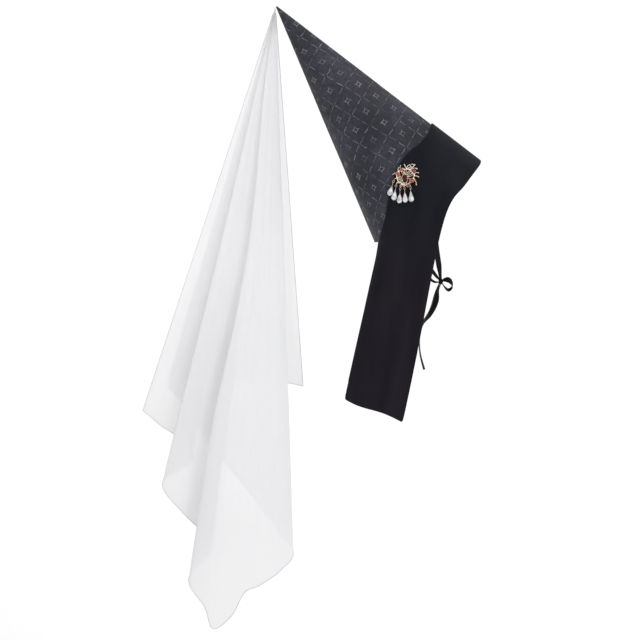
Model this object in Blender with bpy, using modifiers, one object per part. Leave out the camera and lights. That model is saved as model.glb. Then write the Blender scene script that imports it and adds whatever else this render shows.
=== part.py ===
"""Tall pointed hat of dark brocade with a black velvet band, a sheer veil, a jewel and a chin tie.

Metres, +Z up. The origin is the centre of the rim circle, where the hat sits on a head. The cone
leans back at CONE_LEAN, so its point is on the -X side. +X is the wearer's front, +Y their left.
"""

import math

import bmesh
import bpy
from mathutils import Matrix, Vector

MILLIMETRE = 0.001
GAP = 0.3 * MILLIMETRE
MERGE = 0.01 * MILLIMETRE

# Cone
RIM_RADIUS = 92.5 * MILLIMETRE
CONE_HEIGHT = 348.0 * MILLIMETRE
CONE_WALL = 2.0 * MILLIMETRE
TIP_RADIUS = 1.2 * MILLIMETRE
TIP_ROUNDING = (math.radians(65.0), math.radians(38.0))
RIM_EDGE = 0.5 * MILLIMETRE
CONE_LEAN = math.radians(45.0)
CONE_STEPS = 64

# Velvet band, and the two lappets that are its ends
BAND_WIDTH = 87.0 * MILLIMETRE
BAND_WALL = 1.8 * MILLIMETRE
BAND_LIFT = 0.9 * MILLIMETRE
BAND_OVERHANG = 1.2 * MILLIMETRE
BAND_BACK_RUN = 228.0 * MILLIMETRE
BAND_FRONT_RUN = 107.5 * MILLIMETRE
LAPPET_DROP = 297.0 * MILLIMETRE
LAPPET_SETBACK = 37.0 * MILLIMETRE
LAPPET_INSET = 17.5 * MILLIMETRE
LAPPET_LEAN = math.radians(4.8)
LAPPET_TURN = math.radians(11.0)
HEM_SLANT = 13.0 * MILLIMETRE
HEM_SAG = 2.0 * MILLIMETRE
LAPPET_FOLD = 2.2 * MILLIMETRE
LAPPET_WAVES = 1.3
LAPPET_WAVE_START = 0.175
LAPPET_WAVE_FULL_AT = 0.625
LAPPET_PULL_BACK = 0.10
LAPPET_PULL_FRONT = 0.13
LAPPET_PULL_HEM = 0.62
BAND_END_SLOPE_FROM = 0.96
BAND_ROWS_ON_CONE = 20
BAND_ROWS_HANGING = 10
BAND_COLUMNS = 6

# Veil
VEIL_LENGTH = 874.0 * MILLIMETRE
VEIL_WALL = 1.0 * MILLIMETRE
VEIL_SETBACK = 1.9 * MILLIMETRE
VEIL_GATHER = 16.0 * MILLIMETRE
VEIL_START = 12.0 * MILLIMETRE
GATHER_SPREAD = math.radians(12.5)
GATHER_MARGIN = 0.4 * MILLIMETRE
GATHER_TOP = 1.0 * MILLIMETRE
GATHER_FLATNESS = 0.62
GATHER_SIDES = 14
VEIL_FULL_WALL_FROM = 60.0 * MILLIMETRE
VEIL_STEPS_PER_FOLD = 3
VEIL_RINGS = (0.0, 0.06, 0.2, 0.45, 0.72, 1.0)

# Chin ribbon and its bow
RIBBON_WIDTH = 8.0 * MILLIMETRE
RIBBON_WALL = 1.0 * MILLIMETRE
RIBBON_SEWN = 10.0 * MILLIMETRE
RIBBON_FROM_FRONT = math.radians(84.0)
RIBBON_INSIDE = 0.5 * MILLIMETRE
RIBBON_BOW = 0.12
RIBBON_STEPS = 8
RIBBON_NARROWING = 0.5
KNOT_FORWARD = 33.9 * MILLIMETRE
KNOT_DROP = 108.6 * MILLIMETRE
KNOT_SIZE = 9.5 * MILLIMETRE
KNOT_SHAPE = (0.82, 0.72, 1.0)
STRAND_END = 4.0 * MILLIMETRE
KNOT_ROUNDING = 2
BOW_STEPS_PER_ROW = 3
LOOP_LENGTH = 17.0 * MILLIMETRE
TAIL_LENGTH = 127.0 * MILLIMETRE

# Brooch
BROOCH_REACH = 283.6 * MILLIMETRE
BROOCH_ALONG = 121.0 * MILLIMETRE
BROOCH_LEVEL = math.radians(7.4)
BROOCH_WIDTH = 38.0 * MILLIMETRE
BROOCH_STANDOFF = 2.0 * MILLIMETRE
FRAME_HEIGHT = 1.6 * MILLIMETRE
FRAME_WIRE = 0.95 * MILLIMETRE
TWIG_WIRE = 0.62 * MILLIMETRE
TWIG_LIFT = 1.25
LEAF_WIRE = 0.93 * MILLIMETRE
BEAD_RADIUS = 1.05 * MILLIMETRE
BEAD_SEGMENTS = 7
BEAD_RINGS = 4
BEZEL_WALL = 1.1 * MILLIMETRE
BEZEL_FLOOR = 0.7 * MILLIMETRE
BEZEL_RISE = 1.6 * MILLIMETRE
BEZEL_RISE_BY_LENGTH = 5.0 * MILLIMETRE
POCKET_DEPTH = 8.0 * MILLIMETRE
SETTING_SIDES = 12
WREATH_STEPS = 24
WREATH_WAVES = 7
WREATH_RIPPLE = 0.05
PETAL_STEPS = 8
RING_SEGMENTS = 10
PIN_RADIUS = 0.55 * MILLIMETRE
PIN_LENGTH = 24.0 * MILLIMETRE
PIN_BEHIND = 0.36 * MILLIMETRE
LINK_RADIUS = 1.45 * MILLIMETRE
LINK_WIRE = 0.30 * MILLIMETRE
STEM_RADIUS = 0.34 * MILLIMETRE
CAP_LENGTH = 1.6 * MILLIMETRE
CAP_RADIUS = 1.35 * MILLIMETRE
CAP_TOP_RADIUS = 0.5 * MILLIMETRE
CAP_SIDES = 10
DROP_LENGTH = 12.5 * MILLIMETRE
DROP_RADIUS = 4.05 * MILLIMETRE
DROP_SIDES = 12

# Cut of a stone: its table, the break of its crown and the break of its pavilion as shares of its
# half width and of its height over or under the setting's rim.
STONE_FACETS = 8
CENTRE_STONE_FACETS = 12
STONE_RISE = 0.5 * MILLIMETRE
STONE_RISE_BY_LENGTH = 3.0 * MILLIMETRE
STONE_TABLE = 0.56
CROWN_BREAK = (0.86, 0.55)
PAVILION_BREAK = (0.55, 0.70)
GIRDLE_TOP = 0.1 * MILLIMETRE
GIRDLE_FOOT = 0.35 * MILLIMETRE

# The band on the opened-out cone. along: share of each edge's run, back and front: the edge's shift
# away from the point, as a share of the band's width.
BAND_EDGES = (
    # along, back, front
    (0.00, 0.000, 0.000),
    (0.24, 0.015, 0.000),
    (0.44, -0.100, -0.015),
    (0.62, -0.040, -0.030),
    (0.82, 0.075, -0.045),
    (1.00, 0.050, -0.078),
)

# Folds of the veil, one row for each fold or bend, from one side edge of the cloth to the other.
# side: degrees from the plumb line towards the hat's front. depth: degrees from the plumb line
# towards its far side. drop: distance to the hem as a share of the veil's length.
VEIL_FOLDS = (
    # side, depth, drop
    (11.4, 3.6, 0.610),
    (8.8, 4.6, 0.606),
    (4.5, 5.3, 0.608),
    (0.0, 5.6, 0.618),
    (-6.0, 5.5, 0.630),
    (-9.0, 4.8, 0.636),
    (-6.9, 3.9, 0.652),
    (-8.7, 2.7, 0.644),
    (-6.2, 1.3, 0.659),
    (-1.0, 1.2, 0.721),
    (4.0, 1.7, 0.790),
    (8.3, 1.5, 0.855),
    (9.6, -0.2, 0.878),
    (8.4, -1.9, 0.901),
    (6.0, -3.3, 0.929),
    (4.3, -4.1, 0.939),
    (3.2, -4.7, 0.976),
    (1.6, -5.3, 1.000),
    (0.6, -5.5, 0.962),
    (-1.3, -5.2, 0.930),
    (0.5, -3.7, 0.872),
    (-0.9, -2.6, 0.844),
    (-3.2, -3.1, 0.819),
    (-6.1, -2.9, 0.790),
    (-3.2, -1.6, 0.742),
    (-5.6, -0.5, 0.704),
    (-8.2, -0.9, 0.694),
    (-11.0, -0.6, 0.680),
)

# Front loop and back loop of the bow, from the knot and back to it. forward, up and left: shares of
# the loop's length from the knot. face: degrees that the ribbon's width turns from across the bow to
# upright. spread: share of the ribbon's width.
FRONT_LOOP = (
    # forward, up, left, face, spread
    (0.208, 0.12, 0.00, 20, 0.45),
    (0.55, 0.20, 0.00, 35, 0.85),
    (0.86, 0.06, 0.00, 30, 1.00),
    (0.95, -0.26, 0.00, 15, 1.00),
    (0.66, -0.52, 0.00, 5, 1.00),
    (0.40, -0.37, 0.00, 0, 0.80),
    (0.194, -0.15, 0.00, 0, 0.40),
)
BACK_LOOP = (
    # forward, up, left, face, spread
    (-0.185, 0.17, 0.00, 20, 0.40),
    (-0.52, 0.50, 0.02, 30, 0.80),
    (-0.86, 0.78, 0.05, 25, 1.00),
    (-1.08, 0.55, 0.08, 10, 1.00),
    (-0.88, 0.10, 0.08, 5, 1.00),
    (-0.52, -0.10, 0.04, 0, 0.80),
    (-0.213, -0.10, 0.00, 0, 0.40),
)

# Tails of the bow, from the knot to the cut end. forward, up and left: shares of the tail's length.
# face: degrees that the ribbon's width turns from forward to left.
FRONT_TAIL = (
    # forward, up, left, face, spread
    (0.007, -0.035, -0.007, 60, 0.30),
    (-0.020, -0.102, -0.012, 55, 0.90),
    (-0.025, -0.236, -0.024, 8, 1.00),
    (-0.072, -0.387, -0.026, 35, 1.00),
    (-0.136, -0.495, -0.024, 60, 1.00),
    (-0.149, -0.608, -0.020, 84, 1.00),
    (-0.143, -0.718, -0.020, 88, 1.00),
    (-0.113, -0.848, -0.020, 86, 1.00),
    (-0.051, -1.000, -0.020, 78, 1.00),
)
BACK_TAIL = (
    # forward, up, left, face, spread
    (-0.015, -0.034, 0.008, 40, 0.30),
    (-0.046, -0.150, 0.050, 20, 0.90),
    (-0.080, -0.340, 0.085, 5, 1.00),
    (-0.150, -0.540, 0.095, 15, 1.00),
    (-0.150, -0.760, 0.090, 30, 1.00),
    (-0.185, -1.000, 0.085, 20, 1.00),
)

# The brooch seen from the front. side and up: shares of its width from the middle of its main stone.
SETTINGS = (
    # name, side, up, length, width, turn, colour
    ("centre_stone", 0.000, 0.000, 0.282, 0.190, 0, "garnet"),
    ("side_stone_left", -0.255, 0.160, 0.150, 0.105, 15, "coral_stone"),
    ("side_stone_right", 0.245, -0.070, 0.118, 0.165, 15, "amber_stone"),
    ("side_stone_top_right", 0.300, 0.285, 0.080, 0.130, -12, "ruby"),
    ("side_stone_top_left", -0.130, 0.335, 0.080, 0.110, 30, "rose_stone"),
    ("side_stone_low", 0.120, -0.250, 0.075, 0.110, 20, "brown_stone"),
)
# Wreath round the middle: an oval ring, given by its middle and its two half widths.
WREATH = (0.010, 0.075, 0.315, 0.280)
# Petal loops between the middle setting and the wreath: their directions in degrees, and half the
# width of one as a share of the brooch's width.
PETALS = (22, 55, 88, 118, 172, 208)
PETAL_WIDTH = 0.034
# Twigs that end in a bead, from a place on the wreath to the bead.
TWIGS = (
    # from side, from up, bend side, bend up, to side, to up
    (-0.285, 0.190, -0.370, 0.215, -0.445, 0.165),
    (-0.235, 0.270, -0.265, 0.330, -0.235, 0.405),
    (-0.150, 0.345, -0.190, 0.400, -0.165, 0.480),
    (0.210, 0.320, 0.330, 0.400, 0.435, 0.345),
    (0.320, 0.150, 0.400, 0.225, 0.490, 0.200),
    (0.325, 0.080, 0.410, 0.110, 0.495, 0.050),
    (0.310, 0.000, 0.400, -0.090, 0.410, -0.235),
    (0.180, 0.330, 0.310, 0.440, 0.355, 0.495),
)
# A long leaf at the top, from the wreath to its point, and two wire curls beside it.
LEAF = (
    # side, up
    (0.030, 0.335),
    (0.050, 0.370),
    (-0.040, 0.540),
)
CURLS = (
    # side, up, radius
    (0.140, 0.440, 0.055),
    (0.255, 0.470, 0.060),
)
# Rays of the fan under the main stone.
RAYS = (
    # from side, from up, to side, to up
    (-0.060, -0.150, -0.315, -0.150),
    (-0.060, -0.160, -0.210, -0.255),
    (-0.045, -0.165, -0.135, -0.290),
    (-0.030, -0.170, -0.060, -0.300),
    (-0.010, -0.165, 0.010, -0.270),
    (0.020, -0.160, 0.195, -0.240),
)
# Half widths of a pearl drop down its length, as shares of its length and its widest radius.
DROP_SHAPE = (
    # down, wide
    (0.00, 0.26),
    (0.12, 0.42),
    (0.34, 0.70),
    (0.55, 0.93),
    (0.68, 1.00),
    (0.80, 0.93),
    (0.92, 0.66),
    (0.98, 0.30),
)
# Drops: where each eye hangs from the frame, where the wire that holds the eye starts, the way the
# drop hangs in degrees from straight down and in towards the cloth, how many loose links, and the
# length of the stem.
DROPS = (
    # side, up, from side, from up, sway, inward, links, stem
    (-0.405, -0.040, -0.305, 0.030, -18, 4, 0, 0.125),
    (-0.315, -0.195, -0.275, -0.110, -11, 4, 0, 0.125),
    (-0.175, -0.315, -0.135, -0.270, -4, 4, 1, 0.055),
    (-0.020, -0.300, -0.035, -0.240, 3, 1, 1, 0.050),
    (0.195, -0.280, 0.180, -0.220, 4, -1, 1, 0.050),
)

COLOURS = {
    # name: red, green, blue, metallic, roughness
    "brocade": (0.055, 0.055, 0.070, 0.0, 0.62),
    "velvet": (0.010, 0.010, 0.013, 0.0, 0.90),
    "chiffon": (0.860, 0.860, 0.870, 0.0, 0.70),
    "satin": (0.012, 0.012, 0.014, 0.0, 0.32),
    "gold": (0.820, 0.640, 0.340, 1.0, 0.28),
    "pearl": (0.880, 0.880, 0.890, 0.0, 0.15),
    "garnet": (0.110, 0.015, 0.010, 0.0, 0.06),
    "coral_stone": (0.640, 0.140, 0.070, 0.0, 0.10),
    "amber_stone": (0.700, 0.190, 0.040, 0.0, 0.10),
    "ruby": (0.420, 0.030, 0.090, 0.0, 0.10),
    "rose_stone": (0.620, 0.260, 0.230, 0.0, 0.12),
    "brown_stone": (0.330, 0.180, 0.090, 0.0, 0.12),
}

# What follows from the driving dimensions
HALF_ANGLE = math.atan2(RIM_RADIUS, CONE_HEIGHT)
SLANT = math.hypot(RIM_RADIUS, CONE_HEIGHT)
LEAN = Matrix.Rotation(-CONE_LEAN, 3, "Y")
CONE_TIP = LEAN @ Vector((0.0, 0.0, CONE_HEIGHT - TIP_RADIUS / math.sin(HALF_ANGLE) + TIP_RADIUS))
KNOT = Vector((KNOT_FORWARD, 0.0, -KNOT_DROP))


def clear_scene():
    for item in list(bpy.data.objects):
        bpy.data.objects.remove(item, do_unlink=True)


def make_collection(name):
    group = bpy.data.collections.new(name)
    bpy.context.scene.collection.children.link(group)
    return group


def make_material(name):
    red, green, blue, metallic, roughness = COLOURS[name]
    material = bpy.data.materials.new(name)
    material.use_nodes = True
    shader = material.node_tree.nodes["Principled BSDF"]
    shader.inputs["Base Color"].default_value = (red, green, blue, 1.0)
    shader.inputs["Metallic"].default_value = metallic
    shader.inputs["Roughness"].default_value = roughness
    return material


def place(item, group, material):
    """Put one finished object in the hat's collection, with its material."""
    for owner in list(item.users_collection):
        owner.objects.unlink(item)
    group.objects.link(item)
    item.data.materials.clear()
    item.data.materials.append(material)
    return item


def object_from(name, mesh):
    item = bpy.data.objects.new(name, mesh)
    bpy.context.scene.collection.objects.link(item)
    return item


def smooth(item, angle=40.0):
    item.data.shade_smooth()
    item.data.set_sharp_from_angle(angle=math.radians(angle))
    return item


def blend(low, high, share):
    return low + (high - low) * share


def ease(value):
    held = min(1.0, max(0.0, value))
    return held * held * (3.0 - 2.0 * held)


def through(rows, share):
    """Smooth curve through rows of numbers, at a share of its length in rows."""
    last = len(rows) - 1
    place_in_rows = min(max(share, 0.0), 1.0) * last
    first = min(int(place_in_rows), last - 1)
    t = place_in_rows - first
    before, start, end, after = (rows[min(max(first + step, 0), last)] for step in (-1, 0, 1, 2))
    return tuple(
        0.5 * (2 * b + (c - a) * t + (2 * a - 5 * b + 4 * c - d) * t * t + (3 * b - a - 3 * c + d) * t**3)
        for a, b, c, d in zip(before, start, end, after)
    )


def sheet(name, grid):
    """Open surface through a grid of points, rows of equal length."""
    columns = len(grid[0])
    corners = [tuple(point) for row in grid for point in row]
    faces = []
    for row in range(len(grid) - 1):
        for column in range(columns - 1):
            start = row * columns + column
            faces.append((start, start + columns, start + columns + 1, start + 1))
    mesh = bpy.data.meshes.new(name)
    mesh.from_pydata(corners, [], faces)
    mesh.update()
    return object_from(name, mesh)


def thicken(item, wall, offset):
    solid = item.modifiers.new("wall", "SOLIDIFY")
    solid.thickness = wall
    solid.offset = offset
    solid.use_even_offset = True
    return solid


def turned(name, profile, steps):
    """Solid of revolution about Z, from a profile that runs down its outer side."""
    mesh = bpy.data.meshes.new(name)
    edges = [(index, index + 1) for index in range(len(profile) - 1)]
    mesh.from_pydata([(radius, 0.0, height) for radius, height in profile], edges, [])
    item = object_from(name, mesh)
    screw = item.modifiers.new("turn", "SCREW")
    screw.steps = steps
    screw.render_steps = steps
    screw.use_merge_vertices = True
    screw.merge_threshold = MERGE
    return item


def baked(item, weld=True):
    """The same object with its modifiers, or its curve and its loose caps, as one plain mesh."""
    scene_now = bpy.context.evaluated_depsgraph_get()
    mesh = bpy.data.meshes.new_from_object(item.evaluated_get(scene_now))
    if weld:
        work = bmesh.new()
        work.from_mesh(mesh)
        bmesh.ops.remove_doubles(work, verts=work.verts, dist=MERGE)
        work.to_mesh(mesh)
        work.free()
    name = item.name
    matrix = item.matrix_world.copy()
    bpy.data.objects.remove(item, do_unlink=True)
    plain = object_from(name, mesh)
    plain.matrix_world = matrix
    return plain


def moved_into_mesh(item, matrix):
    item.data.transform(matrix)
    return item


def combined(base, piece, operation):
    """Two closed meshes made one; they may share planes or be thin folded sheets."""
    step = base.modifiers.new("combine", "BOOLEAN")
    step.operation = operation
    step.solver = "MANIFOLD"
    step.object = piece
    bpy.context.view_layer.update()
    result = baked(base, weld=False)
    bpy.data.objects.remove(piece, do_unlink=True)
    return result


def fused(name, pieces, hollows=()):
    """One solid from overlapping pieces, less its hollows."""
    base = pieces[0]
    for piece in pieces[1:]:
        base = combined(base, piece, "UNION")
    for hollow in hollows:
        base = combined(base, hollow, "DIFFERENCE")
    base.name = name
    return base


def wire(points, radius, closed=False):
    """Round wire through points, six sides, as a mesh."""
    curve = bpy.data.curves.new("wire", "CURVE")
    curve.dimensions = "3D"
    curve.bevel_depth = radius
    curve.bevel_resolution = 1
    curve.use_fill_caps = not closed
    line = curve.splines.new("POLY")
    line.points.add(len(points) - 1)
    for point, spot in zip(line.points, points):
        point.co = (*spot, 1.0)
    line.use_cyclic_u = closed
    return baked(object_from("wire", curve))


def ring(centre, across, radius, thickness):
    """Round ring with its axis along across."""
    turn = Vector(across).to_track_quat("Z", "Y").to_matrix()
    points = []
    for step in range(RING_SEGMENTS):
        angle = math.tau * step / RING_SEGMENTS
        points.append(Vector(centre) + turn @ Vector((math.cos(angle), math.sin(angle), 0.0)) * radius)
    return wire(points, thickness, closed=True)


def bead(centre, radius):
    mesh = bpy.data.meshes.new("bead")
    work = bmesh.new()
    bmesh.ops.create_uvsphere(work, u_segments=BEAD_SEGMENTS, v_segments=BEAD_RINGS, radius=radius)
    work.to_mesh(mesh)
    work.free()
    return moved_into_mesh(object_from("bead", mesh), Matrix.Translation(centre))


def cone_point(reach, along, lift):
    """Point over the cone's outer face, from its place on the opened-out cone.

    reach runs from the cone's point down the line of its front, along runs across that line towards
    the near side, and lift is the height above the face.
    """
    distance = math.hypot(reach, along)
    angle = math.atan2(along, reach) / math.sin(HALF_ANGLE)
    radius = distance * math.sin(HALF_ANGLE)
    spot = Vector((radius * math.cos(angle), -radius * math.sin(angle), 0.0))
    spot.z = CONE_HEIGHT - distance * math.cos(HALF_ANGLE)
    return LEAN @ (spot + cone_normal(angle) * lift)


def cone_normal(angle):
    flat = math.cos(HALF_ANGLE)
    return Vector((flat * math.cos(angle), -flat * math.sin(angle), math.sin(HALF_ANGLE)))


def build_cone():
    """Hollow cone with a small round tip and an open rim."""
    tip_height = CONE_HEIGHT - TIP_RADIUS / math.sin(HALF_ANGLE)
    inner_rim = RIM_RADIUS - CONE_WALL / math.cos(HALF_ANGLE)
    drift = RIM_EDGE * math.sin(HALF_ANGLE)
    profile = [(0.0, tip_height + TIP_RADIUS)]
    for angle in (*TIP_ROUNDING, HALF_ANGLE):
        profile.append((TIP_RADIUS * math.cos(angle), tip_height + TIP_RADIUS * math.sin(angle)))
    profile += [
        (RIM_RADIUS - drift, RIM_EDGE),
        (RIM_RADIUS - RIM_EDGE, 0.0),
        (inner_rim + RIM_EDGE, 0.0),
        (inner_rim - drift, RIM_EDGE),
        (0.0, CONE_HEIGHT - CONE_WALL / math.sin(HALF_ANGLE)),
    ]
    cone = turned("cone", profile, CONE_STEPS)
    cone.rotation_euler = (0.0, -CONE_LEAN, 0.0)
    return smooth(cone)


def band_edge_point(share, column):
    """Place of a point of the band on the opened-out cone: reach and along."""
    shifts = through([row[1:] for row in BAND_EDGES], band_row_share(share))
    front = SLANT + BAND_OVERHANG + shifts[1] * BAND_WIDTH
    back = SLANT + BAND_OVERHANG - BAND_WIDTH + shifts[0] * BAND_WIDTH
    return (
        blend(back, front, column),
        blend(BAND_BACK_RUN, BAND_FRONT_RUN, column) * share,
    )


def band_row_share(share):
    """Share of the way down the table's rows for a share of the band's run."""
    for index in range(len(BAND_EDGES) - 1):
        low = BAND_EDGES[index][0]
        high = BAND_EDGES[index + 1][0]
        if share <= high:
            return (index + (share - low) / (high - low)) / (len(BAND_EDGES) - 1)
    return 1.0


def lappet_axes():
    """Directions along, across and out of the hanging end on the near side."""
    down = Vector((-math.sin(LAPPET_LEAN), 0.0, -math.cos(LAPPET_LEAN)))
    level = Vector((math.cos(LAPPET_LEAN), 0.0, -math.sin(LAPPET_LEAN)))
    across = level * math.cos(LAPPET_TURN) + Vector((0.0, -math.sin(LAPPET_TURN), 0.0))
    return down, across, down.cross(across).normalized()


def lappet_point(column, share):
    """Point of the hanging end, from where the cloth leaves the rim (0) to its hem (1)."""
    down, across, out = lappet_axes()
    leave = cone_point(*band_edge_point(1.0, column), BAND_LIFT)
    above = cone_point(*band_edge_point(BAND_END_SLOPE_FROM, column), BAND_LIFT)
    hem_middle = Vector((-LAPPET_SETBACK, -(RIM_RADIUS - LAPPET_INSET), -LAPPET_DROP))
    off_centre = column - 0.5
    hem = hem_middle + across * (off_centre * BAND_WIDTH)
    hem += down * (off_centre * HEM_SLANT + HEM_SAG * math.sin(math.tau * column))
    length = (hem - leave).length
    off_rim = (leave - above).normalized() * blend(LAPPET_PULL_BACK, LAPPET_PULL_FRONT, column) * length
    to_hem = down * (LAPPET_PULL_HEM * length)
    t = share
    point = leave * (1 - t) ** 3 + (leave + off_rim) * (3 * t * (1 - t) ** 2)
    point += (hem - to_hem) * (3 * t * t * (1 - t)) + hem * t**3
    wave = math.sin(math.tau * (LAPPET_WAVES * column + LAPPET_WAVE_START))
    wave *= ease(share / LAPPET_WAVE_FULL_AT)
    return point + out * (LAPPET_FOLD * wave)


def build_lappet_band():
    grid = []
    for row in range(BAND_ROWS_ON_CONE + 1):
        share = row / BAND_ROWS_ON_CONE
        line = []
        for column in range(BAND_COLUMNS + 1):
            line.append(cone_point(*band_edge_point(share, column / BAND_COLUMNS), BAND_LIFT))
        grid.append(line)
    for point in grid[0]:
        point.y = 0.0
    for row in range(1, BAND_ROWS_HANGING + 1):
        share = row / BAND_ROWS_HANGING
        grid.append([lappet_point(column / BAND_COLUMNS, share) for column in range(BAND_COLUMNS + 1)])
    band = sheet("lappet_band", grid)
    mirror = band.modifiers.new("far half", "MIRROR")
    mirror.use_axis = (False, True, False)
    mirror.merge_threshold = MERGE
    thicken(band, BAND_WALL, 1.0)
    return smooth(band, 60.0)


def veil_top():
    return CONE_TIP + Vector((-VEIL_SETBACK, 0.0, 0.0))


def veil_point(side, depth, distance):
    side_angle = math.radians(side)
    depth_angle = math.radians(depth)
    direction = Vector((math.sin(side_angle), math.sin(depth_angle), -math.cos(side_angle)))
    return veil_top() + direction * distance


def build_veil():
    """Sheet gathered at the cone's point, with its folds widening towards the hem."""
    columns = (len(VEIL_FOLDS) - 1) * VEIL_STEPS_PER_FOLD
    grid = []
    walls = []
    for ring_share in VEIL_RINGS:
        line = []
        for column in range(columns + 1):
            side, depth, drop = through(VEIL_FOLDS, column / columns)
            distance = blend(VEIL_START, drop * VEIL_LENGTH, ring_share)
            line.append(veil_point(side, depth, distance))
            walls.append(min(1.0, distance / VEIL_FULL_WALL_FROM))
        grid.append(line)
    shell = sheet("veil", grid)
    thin = shell.vertex_groups.new(name="wall")
    for index, share in enumerate(walls):
        thin.add([index], share, "REPLACE")
    wall = thicken(shell, VEIL_WALL, 0.0)
    wall.use_even_offset = False
    wall.vertex_group = "wall"
    bpy.context.view_layer.update()
    shell = baked(shell)
    gather = bpy.data.meshes.new("gather")
    work = bmesh.new()
    bmesh.ops.create_cone(
        work,
        cap_ends=True,
        segments=GATHER_SIDES,
        radius1=VEIL_GATHER * math.tan(GATHER_SPREAD) + GATHER_MARGIN,
        radius2=GATHER_TOP,
        depth=VEIL_GATHER,
    )
    work.to_mesh(gather)
    work.free()
    gather.transform(Matrix.Diagonal((1.0, GATHER_FLATNESS, 1.0, 1.0)))
    gather.transform(Matrix.Translation(veil_top() + Vector((0.0, 0.0, -VEIL_GATHER * 0.5))))
    return smooth(fused("veil", [shell, object_from("gather", gather)]), 50.0)


def strip(name, points, widths):
    """Flat ribbon through points; each width is the vector from its one edge to its other."""
    grid = [[point - width * 0.5, point + width * 0.5] for point, width in zip(points, widths)]
    item = sheet(name, grid)
    thicken(item, RIBBON_WALL, 0.0)
    return smooth(item, 60.0)


def build_strand(name, mirror):
    """Ribbon from inside the rim to the knot; mirror is -1 on the near side and 1 on the far."""
    inside = CONE_WALL + RIBBON_INSIDE + RIBBON_WALL * 0.5
    points = []
    for share in (0.0, 0.5, 1.0):
        above = RIBBON_SEWN * (1.0 - share)
        angle = RIBBON_FROM_FRONT - above / RIM_RADIUS
        distance = SLANT - above - GAP
        spread = angle * math.sin(HALF_ANGLE)
        points.append(cone_point(distance * math.cos(spread), distance * math.sin(spread), -inside))
    leave = points[-1]
    to_knot = (KNOT - leave).normalized()
    end = KNOT - to_knot * STRAND_END
    bow_out = (leave - points[-2]).normalized() * ((end - leave).length * RIBBON_BOW)
    for step in range(1, RIBBON_STEPS + 1):
        t = step / RIBBON_STEPS
        middle = blend(leave, end, t)
        points.append(middle + bow_out * (math.sin(math.pi * t) * (1.0 - t)))
    widths = []
    for index, point in enumerate(points):
        ahead = points[min(index + 1, len(points) - 1)] - points[max(index - 1, 0)]
        ahead.normalize()
        flat = Vector((1.0, 0.0, 0.0)) - ahead * ahead.x
        narrow = blend(1.0, RIBBON_NARROWING, ease((index - len(points) + 3) / 2.0))
        widths.append(flat.normalized() * RIBBON_WIDTH * narrow)
    if mirror > 0:
        points = [Vector((point.x, -point.y, point.z)) for point in points]
        widths = [Vector((width.x, -width.y, width.z)) for width in widths]
    return strip(name, points, widths)


def build_bow_strip(name, table, length, looped):
    """A loop or a tail of the bow, along its table."""
    samples = (len(table) - 1) * BOW_STEPS_PER_ROW
    points = []
    widths = []
    for sample in range(samples + 1):
        forward, up, left, face, spread = through(table, sample / samples)
        points.append(KNOT + Vector((forward, left, up)) * length)
        turn = math.radians(face)
        if looped:
            width = Vector((0.0, math.cos(turn), math.sin(turn)))
        else:
            width = Vector((math.cos(turn), math.sin(turn), 0.0))
        widths.append(width * RIBBON_WIDTH * spread)
    return strip(name, points, widths)


def build_knot():
    mesh = bpy.data.meshes.new("bow_knot")
    work = bmesh.new()
    bmesh.ops.create_cube(work, size=1.0)
    work.to_mesh(mesh)
    work.free()
    mesh.transform(Matrix.Diagonal((*(share * KNOT_SIZE for share in KNOT_SHAPE), 1.0)))
    knot = object_from("bow_knot", mesh)
    rounding = knot.modifiers.new("round", "SUBSURF")
    rounding.levels = KNOT_ROUNDING
    rounding.render_levels = KNOT_ROUNDING
    knot.location = KNOT
    return smooth(knot)


def brooch_seat(group):
    """Empty on the band's outer face: its Z points out, its X along the brooch's width."""
    band_top = BAND_LIFT + BAND_WALL
    spot = cone_point(BROOCH_REACH, BROOCH_ALONG, band_top + BROOCH_STANDOFF)
    angle = math.atan2(BROOCH_ALONG, BROOCH_REACH) / math.sin(HALF_ANGLE)
    out = (LEAN @ cone_normal(angle)).normalized()
    level = Vector((math.cos(BROOCH_LEVEL), 0.0, math.sin(BROOCH_LEVEL)))
    side = (level - out * level.dot(out)).normalized()
    up = out.cross(side)
    seat = bpy.data.objects.new("brooch_seat", None)
    group.objects.link(seat)
    seat.matrix_world = Matrix((side, up, out)).transposed().to_4x4()
    seat.location = spot
    return seat


def jewel_spot(side, up, height=FRAME_HEIGHT):
    return Vector((side * BROOCH_WIDTH, up * BROOCH_WIDTH, height))


def oval(turn, length, width):
    """Matrix that makes a round piece of unit radius an oval, upright before its turn."""
    size = Matrix.Diagonal((width * BROOCH_WIDTH * 0.5, length * BROOCH_WIDTH * 0.5, 1.0, 1.0))
    return Matrix.Rotation(math.radians(turn), 4, "Z") @ size


def setting_height(length):
    """Height of a setting's rim over the brooch's back."""
    return BEZEL_FLOOR + BEZEL_RISE + BEZEL_RISE_BY_LENGTH * length


def oval_block(side, up, length, width, turn, margin, low, high):
    """Upright oval block round a stone's place, wider than the stone by a margin."""
    grow = 1.0 + margin / (width * BROOCH_WIDTH * 0.5)
    profile = ((0.0, high), (grow, high), (grow, low), (0.0, low))
    block = baked(turned("block", profile, SETTING_SIDES))
    block.data.transform(Matrix.Translation(jewel_spot(side, up, 0.0)) @ oval(turn, length, width))
    return block


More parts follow.
